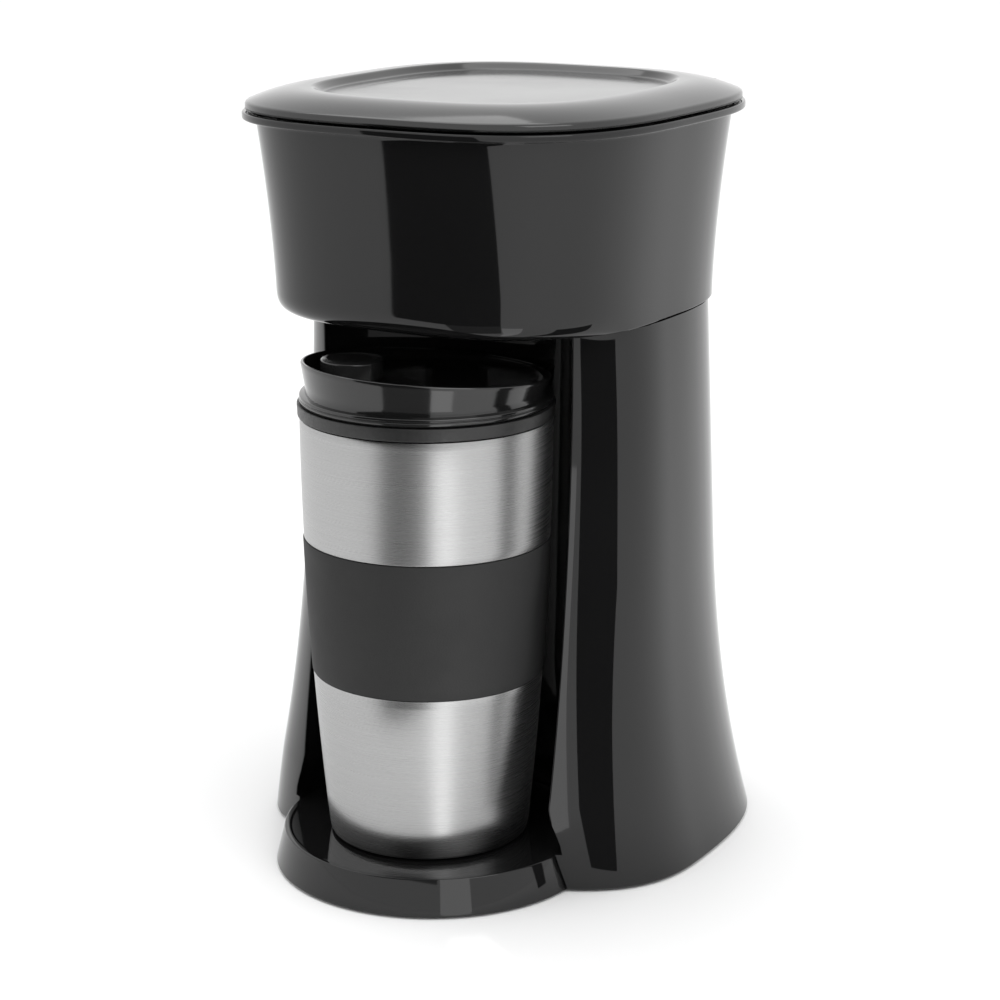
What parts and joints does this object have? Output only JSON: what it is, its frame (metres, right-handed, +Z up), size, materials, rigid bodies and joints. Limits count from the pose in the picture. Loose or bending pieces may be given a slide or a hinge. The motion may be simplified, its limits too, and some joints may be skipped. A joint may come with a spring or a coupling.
{
  "type": "drip coffee maker",
  "caption": "Compact gloss black drip coffee maker with a hinged lid, flared column and round platform holding a steel travel mug under its outlet.",
  "frame": {"origin": "on the standing surface, under the middle of the overall box", "axes": "+Z up, -Y towards the front where the mug stands, +X to the right seen from the front"},
  "size_m": [0.1664, 0.19, 0.2664],
  "materials": {
    "gloss_black_abs": "polished black ABS",
    "gloss_black_lid": "polished black polypropylene",
    "black_plastic": "satin black moulding",
    "foot_rubber": "matte rubber",
    "zinc_steel": "zinc plated",
    "nylon_mesh": "fine nylon mesh on a moulded frame",
    "cast_aluminium": "as cast",
    "bright_steel": "smooth",
    "grey_plastic": "moulded",
    "silicone": "translucent white",
    "red_lens": "clear red",
    "brushed_steel": "brushed round the mug",
    "grip_rubber": "matte black"
  },
  "bodies": {
    "base": {"column_shell": "gloss_black_abs", "mug_platform": "gloss_black_abs", "base_plate": "black_plastic", "foot_1": "foot_rubber", "foot_2": "foot_rubber", "foot_3": "foot_rubber", "foot_4": "foot_rubber", "base_screw_1": "zinc_steel", "base_screw_2": "zinc_steel", "base_screw_3": "zinc_steel", "base_screw_4": "zinc_steel", "base_screw_5": "zinc_steel", "housing_shell": "gloss_black_abs", "body_screw_1": "zinc_steel", "body_screw_2": "zinc_steel", "body_screw_3": "zinc_steel", "reservoir": "black_plastic", "deck_screw_1": "zinc_steel", "deck_screw_2": "zinc_steel", "outlet_nozzle": "black_plastic", "hinge_pin_1": "zinc_steel", "hinge_pin_2": "zinc_steel", "heater_block": "cast_aluminium", "heater_bracket": "zinc_steel", "thermostat": "bright_steel", "thermal_fuse": "bright_steel", "terminal_block": "grey_plastic", "check_valve": "grey_plastic", "feed_hose": "silicone", "riser_tube": "silicone", "riser_spout": "black_plastic", "switch_bezel": "black_plastic", "indicator_lens": "red_lens", "cord_inlet": "black_plastic"},
    "lid": {"lid_shell": "gloss_black_abs", "lid_liner": "black_plastic", "shower_head": "black_plastic"},
    "basket": {"filter_basket": "black_plastic"},
    "filter": {"permanent_filter": "nylon_mesh"},
    "handle": {"filter_handle": "black_plastic"},
    "rocker": {"power_rocker": "gloss_black_abs"},
    "mug": {"mug_shell": "brushed_steel", "mug_liner": "bright_steel", "mug_base": "brushed_steel", "mug_grip_band": "grip_rubber", "mug_collar": "black_plastic"},
    "drinking_lid": {"mug_lid": "gloss_black_lid", "mug_lid_seal": "silicone"},
    "sip_cap": {"sip_closure": "black_plastic"}
  },
  "joints": [
    {"name": "lid_hinge", "type": "hinge", "parent": "base", "child": "lid", "pos_m": [0, 0.09093, 0.259], "axis": [-1, 0, 0], "range_deg": [0, 95]},
    {"name": "basket_lift", "type": "slide", "parent": "base", "child": "basket", "axis": [0, 0, 1], "range_m": [0, 0.05]},
    {"name": "filter_lift", "type": "slide", "parent": "basket", "child": "filter", "axis": [0, 0, 1], "range_m": [0, 0.02]},
    {"name": "handle_hinge", "type": "hinge", "parent": "filter", "child": "handle", "pos_m": [0, -0.02807, 0.2514], "axis": [-1, 0, 0], "range_deg": [0, 80]},
    {"name": "power_switch", "type": "hinge", "parent": "base", "child": "rocker", "pos_m": [-0.07432, 0.01893, 0.045], "axis": [0, 1, 0], "range_deg": [0, 16]},
    {"name": "mug_slide", "type": "slide", "parent": "base", "child": "mug", "axis": [0, -1, 0], "range_m": [0, 0.16]},
    {"name": "drinking_lid_lift", "type": "slide", "parent": "mug", "child": "drinking_lid", "axis": [0, 0, 1], "range_m": [0, 0.02]},
    {"name": "sip_slide", "type": "slide", "parent": "drinking_lid", "child": "sip_cap", "axis": [0.9506, 0.3104, 0], "range_m": [0, 0.009]}
  ],
  "couplings": [
    {"joint": "basket_lift", "follows": "lid_hinge", "m_per_rad": 0.03},
    {"joint": "filter_lift", "follows": "lid_hinge", "m_per_rad": 0.012},
    {"joint": "handle_hinge", "follows": "lid_hinge", "ratio": 0.842},
    {"joint": "drinking_lid_lift", "follows": "mug_slide", "ratio": 0.125}
  ]
}
